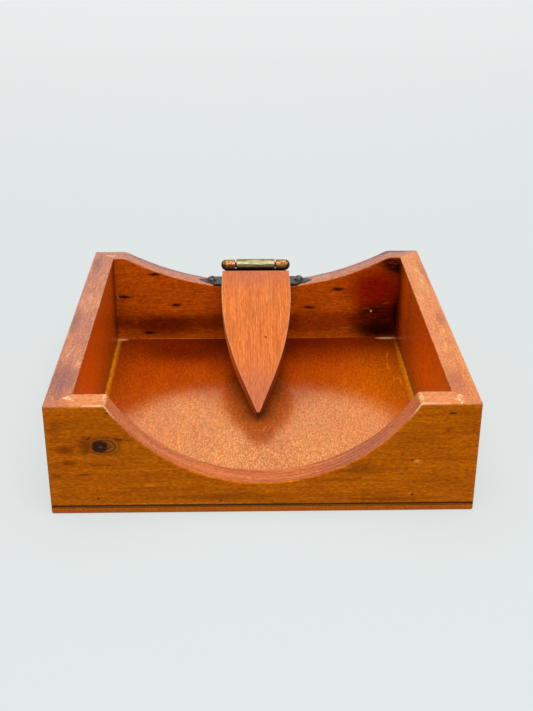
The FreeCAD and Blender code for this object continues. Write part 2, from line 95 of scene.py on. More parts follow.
bpy.ops.mesh.primitive_plane_add(size=1)
card = bpy.context.object
card.name = "studio_card"
card.scale = (2 * CARD_HALF_WIDTH, CARD_BACK - CARD_FRONT, 1)
card.location = (0, (CARD_BACK + CARD_FRONT) / 2, 0)
bpy.ops.object.transform_apply(location=True, scale=True)
bpy.ops.object.mode_set(mode="EDIT")
bpy.ops.mesh.select_all(action="DESELECT")
bpy.ops.object.mode_set(mode="OBJECT")
for edge in card.data.edges:
    edge.select = all(card.data.vertices[v].co.y > CARD_BACK - MM for v in edge.vertices)
bpy.ops.object.mode_set(mode="EDIT")
bpy.ops.mesh.extrude_region_move(TRANSFORM_OT_translate={"value": (0, 0, CARD_HEIGHT)})
bpy.ops.mesh.select_all(action="DESELECT")
bpy.ops.object.mode_set(mode="OBJECT")
for edge in card.data.edges:
    ends = [card.data.vertices[v].co for v in edge.vertices]
    edge.select = all(p.y > CARD_BACK - MM and p.z < MM for p in ends)
bpy.ops.object.mode_set(mode="EDIT")
bpy.ops.mesh.bevel(offset=CARD_BEND, segments=CARD_BEND_STEPS)
bpy.ops.object.mode_set(mode="OBJECT")
bpy.ops.object.shade_smooth()
card_white, tree = new_material("matt_white_card")
bounced = add_node(tree, "LightPath", output="Is Diffuse Ray")
depth = add_node(tree, "SeparateXYZ", {0: add_node(tree, "TexCoord", output="Object")}, "Y")
far = add_node(tree, "MapRange", {"Value": depth, "From Min": CARD_WHITENS_FROM, "From Max": CARD_BACK})
white = add_node(tree, "Mix", {0: far, 6: colour(CARD_WHITE), 7: colour(CARD_FAR_WHITE)}, 2, data_type="RGBA")
lit = add_node(tree, "BsdfDiffuse", {"Color": white})
even = add_node(tree, "Emission", {"Color": white})
seen = add_node(tree, "MixShader", {0: CARD_EVENNESS, 1: lit, 2: even})
bounce = add_node(tree, "BsdfDiffuse", {"Color": colour(CARD_BOUNCE)})
add_node(tree, "OutputMaterial", {"Surface": add_node(tree, "MixShader", {0: bounced, 1: seen, 2: bounce})})
card.data.materials.append(card_white)

tent = bpy.data.worlds.new("light_tent")
tent.use_nodes = True
tent.node_tree.nodes.clear()
glow = add_node(tent.node_tree, "Background", {"Color": colour(TENT_WHITE), "Strength": TENT_STRENGTH})
add_node(tent.node_tree, "OutputWorld", {"Surface": glow})
bpy.context.scene.world = tent
bpy.context.scene.view_settings.view_transform = "Standard"

for name, place, side, watts in LAMPS:
    bpy.ops.object.light_add(type="AREA", location=place)
    lamp = bpy.context.object
    lamp.name = name
    lamp.data.shape = "SQUARE"
    lamp.data.size = side
    lamp.data.energy = watts
    lamp.rotation_euler = (-Vector(place)).to_track_quat("-Z", "Y").to_euler()


# ---- front board -----------------------------------------------------------------------------------
# Knotty pine with its grain lying along the board, scooped on a bandsaw and mitred at both ends.  It is
# stained amber under a brushed varnish, which is warm where looked at straight and pale at a low angle.
FRONT_WOOD = ("#dc7200", "#a64800", "#7a3000")     # early wood, late wood, and streaks that took more stain
FRONT_TOP = "#e68a4a"
HALF_WIDTH = -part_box("left_side_board")[0].x / MM
HALF_DEPTH = -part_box("front_board")[0].y / MM
PANEL_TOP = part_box("front_board")[0].z / MM
TRAY_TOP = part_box("left_side_board")[1].z / MM
TOPS_FROM = TRAY_TOP - 0.9   # the height above which the boards have the tone of their tops
FRONT_FACE = -HALF_DEPTH
KNOT_CORE = (-76.4, FRONT_FACE, 37.2)
KNOT_EYE = (-74.4, FRONT_FACE, 37.4)     # its bent rings, from growing round the branch, lie off its centre
KNOT_EYE_REACH = (10.4, 12, 6.6)
KNOT_RINGS = 4.5
RING_MM = 4.2                # growth rings of slow grown pine, as a flat sawn face cuts them
FIBRE_MM = (9, 0.9, 0.9)     # fibres are finer; drawn as coarse as shows
PORE_MM = (3.0, 1.3, 1.3)    # resin pores and brush hairs that roughen the coat
CLOUD_MM = (34, 7, 7)        # stain goes in unevenly, in lengthwise clouds
SPECK_MM = (2.2, 0.9, 0.9)   # dust and hairs under the coat
BRUSH_MM = (30, 9, 9)        # the long low waves that the brush left in it
COAT_RELIEF_MM = 0.04        # how high the fibres and those waves stand in it
WANDER_MM = (110, 26, 26)    # how slowly the growth rings swing about
LOG_STEP = (37, 11, 5)       # how far on in the log a board is cut, for each unit of its seed
PITH_AWAY = (40, 70)         # how far across and below it the pith lies, so that rings cross it as flat arcs
RING_STRETCH = 0.03          # the share of a distance along the grain that counts for the rings
LATE_WOOD = ((0.45, 0.12), (0.82, 0.75), (0.92, 1.0))      # how a ring darkens over its width, then ends
VARNISH_WARMTH = "#ffa030"
WORN_ROUGHNESS = 0.4         # what wear adds to the coat's roughness
FIBRE_ROUGHNESS = (-0.04, 0.07)      # and what the fibres under it do, from none to full
MITRE_HALF = 0.16            # half as wide as the line of glue and stain in a mitre
GROOVE_HALF = 0.85           # half as high as the groove over the bottom panel
GROOVE_LIFT = 0.15           # how far its middle lies over the panel's top
GROOVE_DEPTH = 1.3           # how far in from the outside it goes
MITRE_SHARE = 0.45
GROOVE_SHARE = 0.95
ANY = 400                    # a reach that takes in the whole tray


def spot(tree, place, centre, reach, soft=1.0, turn=(0, 0, 0)):
    """1 within an ellipsoid of the given half sizes in millimetres, fading to 0 over its outer share soft."""
    local = add_node(tree, "Mapping", {
        "Vector": place, "Location": centre, "Rotation": [math.radians(a) for a in turn], "Scale": reach,
    }, vector_type="TEXTURE")
    far = add_node(tree, "VectorMath", {0: local}, "Value", operation="LENGTH")
    return add_node(tree, "MapRange", {
        "Value": far, "From Min": 1 - soft, "From Max": 1.0, "To Min": 1.0, "To Max": 0.0,
    }, interpolation_type="SMOOTHSTEP")


def patches(tree, place, size, low, high, seed=0.0, detail=2.0):
    """Soft noise with features of the given size in millimetres, spread so that low gives 0 and high 1."""
    scaled = add_node(tree, "Mapping", {
        "Vector": place, "Location": (seed, 2 * seed, 3 * seed), "Scale": [1 / s for s in size]})
    cloud = add_node(tree, "TexNoise", {"Vector": scaled, "Scale": 1.0, "Detail": detail})
    return add_node(tree, "MapRange", {"Value": cloud, "From Min": low, "From Max": high})


def layered(tree, tone, layers):
    """Lays each layer over the tone in turn: its hex colour comes last, after the shares it's laid with."""
    for share, *others, text in layers:
        for other in others:
            share = add_node(tree, "Math", {0: share, 1: other}, operation="MULTIPLY")
        tone = add_node(tree, "Mix", {0: share, 6: tone, 7: colour(text)}, 2, data_type="RGBA")
    return tone


def marks(tree, place, rows, soft=0.8):
    """The shares of several spots as one; each row is a centre, a reach, how strong, and any turn."""
    total = 0.0
    for centre, reach, strong, *turn in rows:
        share = spot(tree, place, centre, reach, soft, *turn)
        share = add_node(tree, "Math", {0: share, 1: strong}, operation="MULTIPLY")
        total = add_node(tree, "Math", {0: total, 1: share}, operation="MAXIMUM")
    return total


def ragged(tree, place, by=1.6, size=2.5):
    """The place shifted about by noise, so that the marks laid on it get uneven outlines."""
    shift = add_node(tree, "TexNoise", {"Vector": place, "Scale": 1 / size, "Detail": 3.0}, "Color")
    shift = add_node(tree, "VectorMath", {0: shift, 1: (0.5, 0.5, 0.5)}, operation="SUBTRACT")
    return add_node(tree, "VectorMath", {0: shift, 1: (by, by, by), 2: place}, operation="MULTIPLY_ADD")


def turned_away(tree, facing):
    """0 on the faces that look along facing or against it, 1 on those square to them."""
    normal = add_node(tree, "TexCoord", output="Normal")
    lined_up = add_node(tree, "VectorMath", {0: normal, 1: facing}, "Value", operation="DOT_PRODUCT")
    lined_up = add_node(tree, "Math", {0: lined_up}, operation="ABSOLUTE")
    return add_node(tree, "Math", {0: 1.0, 1: lined_up}, operation="SUBTRACT")


def eased_edges(tree, facing):
    """1 on the rounded edges of the faces that look along facing, 0 on those faces and square to them."""
    away = turned_away(tree, facing)
    lined_up = add_node(tree, "Math", {0: 1.0, 1: away}, operation="SUBTRACT")
    overlap = add_node(tree, "Math", {0: lined_up, 1: away}, operation="MULTIPLY")
    return add_node(tree, "Math", {0: overlap, 1: 4.0}, operation="MULTIPLY")     # 1 where each is a half


def stained_pine(name, along, wood, seed, ring_mm=RING_MM, figure=0.4, wander_mm=30.0, tilt=0.0):
    """Starts a board's material: its tree, the place in it, that place with the grain along X, the fibres
    as a share from 0 to 1, and the bare stained tone with its growth rings, fibres and clouds of stain."""
    material, tree = new_material(name)
    place = add_node(tree, "VectorMath", {
        0: add_node(tree, "TexCoord", output="Object"), "Scale": 1 / MM}, operation="SCALE")
    turn = (math.radians(-tilt), 0, -math.pi / 2 if along == "y" else 0)
    grain = add_node(tree, "Mapping", {
        "Vector": place, "Rotation": turn, "Location": [step * seed for step in LOG_STEP]})
    wander = patches(tree, grain, WANDER_MM, 0.0, 1.0, seed)
    stretched = add_node(tree, "VectorMath", {0: grain, 1: (RING_STRETCH, 1, 1)}, operation="MULTIPLY")
    pith = [0] + [step * seed - away for step, away in zip(LOG_STEP[1:], PITH_AWAY)]
    radius = add_node(tree, "VectorMath", {0: stretched, 1: pith}, "Value", operation="DISTANCE")
    radius = add_node(tree, "Math", {0: wander, 1: wander_mm, 2: radius}, operation="MULTIPLY_ADD")
    ring = add_node(tree, "Math", {0: radius, 1: ring_mm}, operation="DIVIDE")
    ring = add_node(tree, "Math", {0: ring}, operation="FRACT")
    late = add_node(tree, "ValToRGB", {"Fac": ring})
    ramp = late.node.color_ramp
    ramp.elements[1].color = (0, 0, 0, 1)
    for position, level in LATE_WOOD:
        ramp.elements.new(position).color = (level, level, level, 1)
    fibre = patches(tree, grain, FIBRE_MM, 0.32, 0.7, seed + 3, 4.0)
    cloud = patches(tree, grain, CLOUD_MM, 0.42, 0.75, seed + 7, 4.0)
    grit = patches(tree, grain, PORE_MM, 0.5, 0.72, seed + 5, 2.0)
    early_wood, late_wood, streaks = wood
    tone = layered(tree, colour(early_wood), [
        (late, figure, late_wood), (cloud, 0.45, streaks), (fibre, 0.42, streaks), (grit, 0.5, late_wood),
    ])
    return material, tree, place, grain, fibre, tone


def varnish(node, material, tree, grain, fibre, tone, roughness=0.3, gloss=0.5, ior=1.5, brush_marks=3.0,
            warp=None, worn=0.0, speck_mm=SPECK_MM, speck_depth=0.34):
    """Finishes a wooden piece's material with its coat of varnish, and gives it to the piece.  The warp, if
    any, is how deep in millimetres the face lies below true, and worn is 1 where the coat is rubbed dull."""
    smoothest, roughest = (roughness + change for change in FIBRE_ROUGHNESS)
    dull = add_node(tree, "MapRange", {"Value": fibre, "To Min": smoothest, "To Max": roughest})
    dull = add_node(tree, "Math", {0: worn, 1: WORN_ROUGHNESS, 2: dull}, operation="MULTIPLY_ADD")
    specks = patches(tree, grain, speck_mm, 0.3, 0.7, 29.0, 4.0)
    specks = add_node(tree, "MapRange", {
        "Value": specks, "To Min": 1 - speck_depth, "To Max": 1 + speck_depth})
    tone = add_node(tree, "Mix", {0: 1.0, 6: tone, 7: specks}, 2, data_type="RGBA", blend_type="MULTIPLY")
    brushed = patches(tree, grain, BRUSH_MM, 0.0, 1.0, 11.0, 1.0)
    height = add_node(tree, "Math", {0: brushed, 1: brush_marks, 2: fibre}, operation="MULTIPLY_ADD")
    bump = add_node(tree, "Bump", {"Height": height, "Strength": 0.25, "Distance": COAT_RELIEF_MM * MM})
    if warp:
        warped = add_node(tree, "Bump", {"Height": warp, "Distance": MM}, invert=True)
        tree.links.new(warped, bump.node.inputs["Normal"])
    add_node(tree, "OutputMaterial", {"Surface": add_node(tree, "BsdfPrincipled", {
        "Base Color": tone, "Roughness": dull, "Normal": bump,
        "IOR": ior, "Specular IOR Level": gloss, "Specular Tint": colour(VARNISH_WARMTH),
    })})
    dress(node, material)


def dress(node, material):
    """Gives a piece of the frame its material, in place of the plain one it came with."""
    mesh = nodes[node].data
    mesh.materials.clear()
    mesh.materials.append(material)


def joint_lines(tree, place):
    """The fine dark lines where glue and stain fill a mitre, and dirt the groove above the bottom panel."""
    axes = add_node(tree, "SeparateXYZ", {0: place}).node.outputs
    x_in, y_in = (
        add_node(tree, "Math", {0: add_node(tree, "Math", {0: axes[i]}, operation="ABSOLUTE"), 1: half},
                 operation="SUBTRACT")
        for i, half in ((0, HALF_WIDTH), (1, HALF_DEPTH)))
    mitre = add_node(tree, "Math", {0: x_in, 1: y_in, 2: MITRE_HALF}, operation="COMPARE")
    level = add_node(tree, "Math", {
        0: axes[2], 1: PANEL_TOP + GROOVE_LIFT, 2: GROOVE_HALF}, operation="COMPARE")
    outermost = add_node(tree, "Math", {0: x_in, 1: y_in}, operation="MAXIMUM")
    outside = add_node(tree, "Math", {0: outermost, 1: -GROOVE_DEPTH}, operation="GREATER_THAN")
    return mitre, add_node(tree, "Math", {0: level, 1: outside}, operation="MULTIPLY")


def above(tree, place, height, over=0.4):
    """0 below a height and 1 above it."""
    level = add_node(tree, "SeparateXYZ", {0: place}, "Z")
    return add_node(tree, "MapRange", {"Value": level, "From Min": height - over, "From Max": height + over})


material, tree, place, grain, fibre, tone = stained_pine(
    "amber_varnished_pine_front", "x", FRONT_WOOD, 1.7, figure=0.25, wander_mm=16.0)
mitre, groove = joint_lines(tree, place)
uneven = ragged(tree, place)
scratched = patches(tree, uneven, (1.4, 1.4, 1.4), 0.38, 0.52, 2.0, 3.0)
eye_far = add_node(tree, "VectorMath", {0: add_node(tree, "Mapping", {
    "Vector": uneven, "Location": KNOT_EYE, "Scale": KNOT_EYE_REACH}, vector_type="TEXTURE")},
    "Value", operation="LENGTH")
eye_turns = add_node(tree, "Math", {0: eye_far, 1: KNOT_RINGS * 2 * math.pi}, operation="MULTIPLY")
eye_wave = add_node(tree, "Math", {0: eye_turns}, operation="SINE")
eye_pale = add_node(tree, "MapRange", {"Value": eye_wave, "From Min": 0.2, "From Max": -1.0})
eye_dark = add_node(tree, "MapRange", {"Value": eye_wave, "From Min": -0.2, "From Max": 1.0})
eye = spot(tree, uneven, KNOT_EYE, KNOT_EYE_REACH, 0.5)
grain_lines = patches(tree, uneven, (26, 1.4, 1.4), 0.45, 0.65, 15.0, 4.0)
sawn = turned_away(tree, (0, 1, 0))
sawn_grain = patches(tree, place, (60, 0.9, 60), 0.42, 0.62, 5.0, 3.0)
tone = layered(tree, tone, [
    (marks(tree, uneven, [
        ((-93.0, FRONT_FACE, 35.6), (7, 3, 3.4), 0.85), ((-91.7, FRONT_FACE, 28.6), (6, 3, 2.2), 0.75),
        ((-77.7, FRONT_FACE, 27.3), (7, 3, 1.6), 0.5), ((-97.4, FRONT_FACE, 21.5), (4, 3, 2.2), 0.55),
        ((45.9, FRONT_FACE, 24.4), (14, 3, 4.5), 0.5), ((87.1, FRONT_FACE, 44.6), (4, 3, 2.2), 0.45),
        ((-20, FRONT_FACE, 9), (60, 2, 2.5), 0.4), ((60, FRONT_FACE, 7), (30, 2, 1.5), 0.5),
        ((38, FRONT_FACE, 18), (24, 2, 1.2), 0.5), ((-45, FRONT_FACE, 22), (22, 2, 1.0), 0.35),
        ((-97, FRONT_FACE, 45), (5, 3, 9), 0.4),
    ]), "#7c3206"),
    (sawn, 0.45, "#e07038"),
    (sawn, marks(tree, place, [((50, FRONT_FACE + 6, 30), (34, 9, 22), 0.75)]), "#a8583c"),
    (sawn, sawn_grain, 0.65, "#984020"),
    (sawn, patches(tree, place, (50, 0.8, 50), 0.5, 0.66, 19.0, 3.0), 0.5, "#f49a68"),
    (above(tree, place, TOPS_FROM), FRONT_TOP),
    (marks(tree, uneven, [
        ((-99, -100, TRAY_TOP), (13, 7, 3), 0.7), ((100, -98, TRAY_TOP), (9, 7, 3), 0.5),
    ]), "#b0644c"),
    (above(tree, place, TOPS_FROM), grain_lines, 0.35, "#b86038"),
    (eye, 0.6, "#6a2a02"),
    (eye, eye_dark, 0.5, "#3c1400"),
    (eye, eye_pale, patches(tree, place, (5, 5, 5), 0.42, 0.6, 8.0), 0.35, "#c07840"),
    (marks(tree, uneven, [((-83.4, FRONT_FACE, 37.4), (4, 3, 7), 0.7)]), "#6a2a02"),
    (marks(tree, uneven, [
        ((-81.4, FRONT_FACE, 41.6), (2.6, 3, 1.0), 0.9, (0, -38, 0)),
        ((-67.6, FRONT_FACE, 41.0), (3.0, 3, 1.0), 0.9, (0, 16, 0)),
        ((-82.5, FRONT_FACE, 34.6), (2.4, 3, 1.4), 0.5), ((-63.0, FRONT_FACE, 40.4), (3.5, 3, 0.5), 0.7),
    ]), "#3a1200"),
    (spot(tree, uneven, KNOT_CORE, (4.4, 8, 3.8), 0.3), "#04000e"),
    # painted highlight: a small grey glint at the middle of the knot
    (marks(tree, place, [((-76.0, FRONT_FACE, 37.0), (1.4, 2, 0.9), 0.5)]), "#6a5468"),
    (marks(tree, uneven, [
        ((-84.2, FRONT_FACE, 21.9), (5, 2, 0.6), 0.8), ((87.9, FRONT_FACE, 53.4), (2.6, 2, 0.9), 1.0),
        ((-78.7, FRONT_FACE, 8.6), (0.9, 2, 0.9), 1.0), ((-20.2, FRONT_FACE, 7.2), (0.8, 2, 0.8), 1.0),
        ((-22.0, FRONT_FACE, 13.4), (0.7, 2, 0.7), 0.9), ((71.5, FRONT_FACE, 9.0), (0.9, 2, 0.9), 1.0),
        ((-72.3, FRONT_FACE, 55.1), (1.6, 2, 0.5), 1.0), ((70.6, FRONT_FACE, 28.3), (0.9, 2, 0.8), 1.0),
    ]), "#2a0c00"),
    # Pale marks; the long thin one just over the groove, at 5.6 mm, is a painted highlight along the groove's
    # upper edge.
    (marks(tree, uneven, [
        ((72.7, FRONT_FACE, 27.9), (2.2, 2, 1.3), 0.9), ((-53.9, FRONT_FACE, 15.5), (4.5, 2, 0.6), 0.5),
        ((-40, FRONT_FACE, 5.6), (60, 1.4, 0.4), 0.4), ((36.3, FRONT_FACE, 25.0), (8, 1.2, 1.4), 0.4),
    ]), "#f0a03c"),
    # painted highlight along the eased top edges at the horns
    (eased_edges(tree, (0, 1, 0)), marks(tree, place, [
        ((-75, FRONT_FACE, 58), (12, 20, 12), 1.0), ((75, FRONT_FACE, 58), (14, 20, 12), 1.0),
    ]), 0.8, "#ffc898"),
    (scratched, marks(tree, place, [
        ((-73.9, -94.3, TRAY_TOP - 0.8), (1.4, 6, 1.8), 0.9),
        ((74.0, -96.8, TRAY_TOP - 0.8), (1.4, 7, 1.8), 0.9),
        ((-92.5, -93.5, TRAY_TOP), (8, 2.4, 2), 1.0, (0, 0, -44)),
        ((93.5, -94.5, TRAY_TOP), (8, 2.0, 2), 1.0, (0, 0, 50)),
        ((91.3, -100.1, TRAY_TOP), (1.0, 5, 2), 1.0, (0, 0, 12)),
    ]), "#ffd8a8"),
    (mitre, MITRE_SHARE, "#5a2408"),
    (groove, GROOVE_SHARE, "#140600"),
])
varnish("front_board", material, tree, grain, fibre, tone)


# ---- side boards -----------------------------------------------------------------------------------
# Plainer pine, mitred to the front and back boards and held by brads through the mitres.
# The varnish is worn to a dull mauve along their tops, more so on the left.
SIDE_WOOD = ("#d4640a", "#b04804", "#a03c02")
SIDE_TOPS = {       # top, worn and dark tones, a streak inside, and where it is worn or dark: x, y and reach
    "left": ("#cc7654", "#f2a466", "#84504a", 0.2,
             ((-95.6, -46, (6, 14, 4)), (-91.6, -58, (3, 10, 4)), (-94, 22, (9, 20, 4))),
             ((-98.9, -7, (4, 22, 4)), (-97.5, 81, (4, 22, 4)), (-97, -76, (10, 26, 4)))),
    "right": ("#ea8844", "#fab45c", "#b45a34", 0.6,
              ((97.3, -24, (3, 6, 4)), (94.1, -43, (3, 8, 4)), (96, 56, (5, 34, 4)), (91.9, 27, (3, 9, 4))),
              ((92.5, -82, (9, 24, 4)), (99, 66, (4, 30, 4)), (98, -6, (4, 16, 4)))),
}
BOARD_THICKNESS = 12.5
BACK_INNER = HALF_DEPTH - BOARD_THICKNESS        # the back board's inner face
SIDE_INNER = HALF_WIDTH - BOARD_THICKNESS        # and the side boards', from the middle

for side, outward in (("left", -1), ("right", 1)):
    top, top_worn, top_dark, streak, worn_spots, dark_spots = SIDE_TOPS[side]
    material, tree, place, grain, fibre, tone = stained_pine(
        "amber_varnished_pine_" + side, "y", SIDE_WOOD, 5.1 + outward, 5.5)
    mitre, groove = joint_lines(tree, place)
    up = above(tree, place, TOPS_FROM)
    uneven = ragged(tree, place, 4.0, 5.0)
    tone = layered(tree, tone, [
        # painted light: the inner faces are painted a brighter orange, for the light bounced round inside the
        # tray
        (marks(tree, place, [((outward * SIDE_INNER, -40, 42), (4, 130, 38), 0.8)]), "#f46a06"),
        # painted shade: darker in the inner back corner and along the foot of the inner face
        (marks(tree, uneven, [
            ((outward * SIDE_INNER, BACK_INNER, 30), (8, 22, ANY), 0.8),
            ((outward * SIDE_INNER, 0, 2), (6, ANY, 13), 0.7),
        ]), "#5c1000"),
        (marks(tree, uneven, [
            ((outward * SIDE_INNER, BACK_INNER - 32, 44), (6, 16, 40), streak),
        ]), "#f46a06"),
        (up, top),
        (up, patches(tree, grain, (40, 2, 2), 0.42, 0.68, 9.0, 4.0), 0.35, top_dark),
        (up, patches(tree, grain, (12, 1.2, 1.2), 0.5, 0.66, 14.0, 4.0), 0.45, top_worn),
        (up, fibre, 0.35, top_dark),
        (marks(tree, uneven, [((x, y, TRAY_TOP), reach, 0.7) for x, y, reach in dark_spots]), top_dark),
        (marks(tree, uneven, [((x, y, TRAY_TOP), reach, 0.7) for x, y, reach in worn_spots]),
         patches(tree, grain, (9, 1.6, 1.6), 0.4, 0.65, 21.0, 4.0), top_worn),
        # painted highlight along the eased edges of the tops
        (eased_edges(tree, (0, 0, 1)), 0.45, "#f8b890"),
        (mitre, MITRE_SHARE, "#5a2408"),
        (groove, GROOVE_SHARE, "#1c0800"),
    ])
    varnish(side + "_side_board", material, tree, grain, fibre, tone)


# ---- back board ------------------------------------------------------------------------------------
# Redder pine with pin knots, darker towards its right end and nearly black low in its right-hand corner.
BACK_WOOD = ("#d4640a", "#ac4804", "#983a00")
BACK_TOP = "#c47a64"
PIN_KNOTS = (
    ((-64.5, BACK_INNER, 47.9), (3.6, 2, 1.0)), ((-83.9, BACK_INNER, 32.9), (4.4, 2, 1.2)),
    ((-51.1, BACK_INNER, 27.2), (3.2, 2, 1.0)), ((-68.7, BACK_INNER, 8.2), (3.8, 2, 1.3)),
    ((32.9, BACK_INNER, 25.0), (4.2, 2, 1.0)), ((51.0, BACK_INNER, 37.5), (4.4, 2, 1.1)),
)
KNOT_SPREAD = 1.25           # a pin knot is drawn this much larger than its row says, as its edge is ragged
KNOT_HALO = (1.8, 2.4)       # and the brown halo round it by these, along the grain and across
material, tree, place, grain, fibre, tone = stained_pine(
    "amber_varnished_pine_back", "x", BACK_WOOD, 12.9, figure=0.3, wander_mm=16.0)
mitre, groove = joint_lines(tree, place)
uneven = ragged(tree, place, 4.0, 5.0)
streaked = patches(tree, uneven, (9, 3, 1.2), 0.3, 0.5, 6.0, 4.0)
sawn = turned_away(tree, (0, 1, 0))
tone = layered(tree, tone, [
    (marks(tree, uneven, [
        ((0, BACK_INNER, 15), (ANY, 6, 9.5), 0.7), ((-58, BACK_INNER, 14), (44, 6, 12), 0.9),
    ]), "#581000"),
    (marks(tree, uneven, [((42, BACK_INNER, 14), (36, 6, 14), 0.5)]), "#a84408"),
    (marks(tree, uneven, [((86, BACK_INNER, 30), (38, 8, 44), 0.85)]), "#841a02"),
    (marks(tree, uneven, [((74, BACK_INNER, 37), (22, 8, 19), 0.85)]), "#860802"),
    (marks(tree, uneven, [
        ((78, BACK_INNER, 9.5), (25, 8, 11), 1.0), ((90, BACK_INNER, 20), (9, 8, 20), 1.0),
    ]), "#180000"),
    (streaked, marks(tree, place, [
        ((86, BACK_INNER, 53), (16, 6, 9), 1.0, (0, 30, 0)), ((76, BACK_INNER, 20), (24, 6, 12), 0.9),
    ]), "#180200"),
    (marks(tree, uneven, [
        ((81.9, BACK_INNER, 27.1), (4.5, 6, 0.7), 0.4), ((57, BACK_INNER, 10.5), (4.5, 6, 1.0), 0.6),
        ((58.4, BACK_INNER, 24.4), (2, 6, 1.0), 0.35), ((-86, BACK_INNER, 44), (3, 6, 0.8), 0.5),
    ]), "#d86414"),
    (marks(tree, place, [
        ((-87.7, BACK_INNER, 32.9), (1.0, 2, 1.0), 1.0), ((72.5, BACK_INNER, 22.3), (1.0, 2, 1.0), 1.0),
    ]), "#ffd8c8"),
    (marks(tree, place, [
        (centre, (reach[0] * KNOT_HALO[0], 3, reach[2] * KNOT_HALO[1]), 0.55) for centre, reach in PIN_KNOTS
    ]), "#7a2600"),
    (marks(tree, ragged(tree, place), [
        (centre, [KNOT_SPREAD * r for r in reach], 1.0) for centre, reach in PIN_KNOTS
    ]), "#1c0200"),
    (sawn, BACK_TOP),
    (sawn, marks(tree, place, [
        ((-60, HALF_DEPTH, 54), (50, 8, 30), 0.6), ((60, HALF_DEPTH, 54), (50, 7, 30), 0.4),
    ]), "#8c5448"),
    (sawn, marks(tree, place, [((0, HALF_DEPTH - 2.2, 50), (ANY, 1.0, 30), 0.45)]), "#5c3428"),
    (sawn, patches(tree, grain, (18, 1.4, 1.4), 0.42, 0.66, 3.0), 0.45, "#905044"),
    (sawn, patches(tree, grain, (12, 1.2, 1.2), 0.5, 0.68, 8.0), 0.4, "#e8a888"),
    (patches(tree, uneven, (1.2, 1.2, 1.2), 0.45, 0.55, 4.0),
     marks(tree, place, [((40, 98, 47), (9, 5, 6), 0.8)]), "#f0d0a8"),
    (marks(tree, uneven, [
        ((-91.7, 95.2, TRAY_TOP), (5, 2.5, 4), 0.8), ((95.3, 95.3, TRAY_TOP), (3.5, 1.6, 4), 0.9),
        ((-86, HALF_DEPTH, TRAY_TOP), (20, 3, 4), 0.6),
    ]), "#f8bc60"),
    (marks(tree, uneven, [
        ((82, 101.5, TRAY_TOP), (19, 4, 4), 0.9), ((72, 99, 57), (9, 4.5, 3), 0.75),
    ]), "#54444c"),
    # painted highlight along the eased edges
    (eased_edges(tree, (0, 1, 0)), 0.2, "#f8b888"),
    (mitre, MITRE_SHARE, "#5a2408"),
    (groove, GROOVE_SHARE, "#140600"),
])
varnish("back_board", material, tree, grain, fibre, tone)


# ---- bottom panel ----------------------------------------------------------------------------------
# Thin plywood, its face grain from front to back, glued and bradded under the boards.  It is varnished with
# the tray but its face is smoother than the boards', so it mirrors what stands over it.
DENT_DEPTH = 1.3              # how far the thin floor has given way where the arm's tip bears on it
FLOOR_FROM = PANEL_TOP - 0.6  # the height above which the panel is its upper face, where wear, painted shade and painted reflection show
PLY_WOOD = ("#c85c08", "#b04a04", "#a03c00")
material, tree, place, grain, fibre, tone = stained_pine(
    "amber_varnished_plywood", "y", PLY_WOOD, 20.2, 9.0, 0.2)
groove = joint_lines(tree, place)[1]
uneven = ragged(tree, place, 3.0, 3.0)
# The paler zones either side of the arm, with their pale flecks laid below, are painted reflection: they
# stand in for the white surroundings mirrored in the varnish.
rubbed = marks(tree, uneven, [
    ((-41, -44, PANEL_TOP), (44, 70, 6), 1.0), ((43, -44, PANEL_TOP), (42, 70, 6), 0.9),
    ((0, -80, PANEL_TOP), (74, 44, 6), 0.7),
], 0.45)
